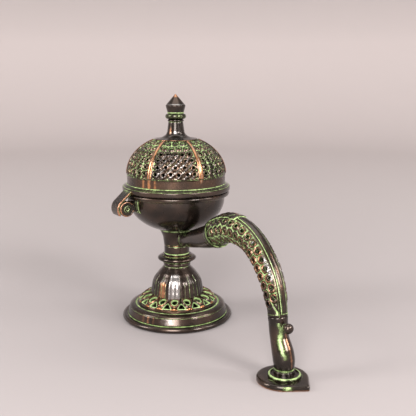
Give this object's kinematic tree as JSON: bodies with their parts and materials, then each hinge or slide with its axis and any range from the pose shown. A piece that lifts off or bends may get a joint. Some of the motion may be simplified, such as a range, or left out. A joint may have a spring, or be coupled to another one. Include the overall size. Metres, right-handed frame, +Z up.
{
  "type": "hand censer",
  "caption": "Standing hand censer: footed bowl on a turned stem, pierced domed lid on a side hinge, and a long curved pierced handle that ends in a leaf-shaped foot.",
  "frame": {"origin": "centre of the round foot, on the surface that the censer stands on", "axes": "+Z up, +X along the handle away from the bowl; the lid hinge is on the -Y side"},
  "size_m": [0.2219, 0.1039, 0.1901],
  "materials": {
    "dark_patina": "dark brown patina, semi-gloss, thin green in the grooves",
    "pierced_patina": "pierced relief with green verdigris in the recesses and worn copper-brown lips",
    "handle_patina": "dark brown patina, rubbed to copper on the high spots",
    "hinge_patina": "dark patina with green verdigris round the pin",
    "fastener_brass": "plain machined brass, dulled"
  },
  "bodies": {
    "stand": {"base_plate": "dark_patina", "bell": "dark_patina", "stem_ring": "dark_patina", "stem_drum": "dark_patina", "stem_collar": "dark_patina", "bowl": "dark_patina", "bowl_rim": "dark_patina", "petal_skirt": "pierced_patina", "handle_sleeve": "pierced_patina", "handle_root": "handle_patina", "handle_shank": "handle_patina", "thumb_knob": "handle_patina", "spine_strip": "handle_patina", "saddle_cap": "handle_patina", "handle_cuff": "handle_patina", "leaf_foot": "handle_patina", "foot_boss": "handle_patina", "hinge_bracket": "hinge_patina", "hinge_pin": "hinge_patina", "tie_bolt": "fastener_brass", "tie_washer": "fastener_brass", "tie_nut": "fastener_brass", "foot_screw": "fastener_brass"},
    "lid": {"lid_dome": "pierced_patina", "lid_ring": "dark_patina", "lid_strap": "hinge_patina", "finial_skirt": "dark_patina", "finial_collar": "dark_patina", "finial_bud": "dark_patina", "finial_stud": "fastener_brass", "finial_nut": "fastener_brass"}
  },
  "joints": [
    {"name": "lid_hinge", "type": "hinge", "parent": "stand", "child": "lid", "pos_m": [0, -0.0484, 0.09971], "axis": [1, 0, 0], "range_deg": [0, 95]}
  ]
}
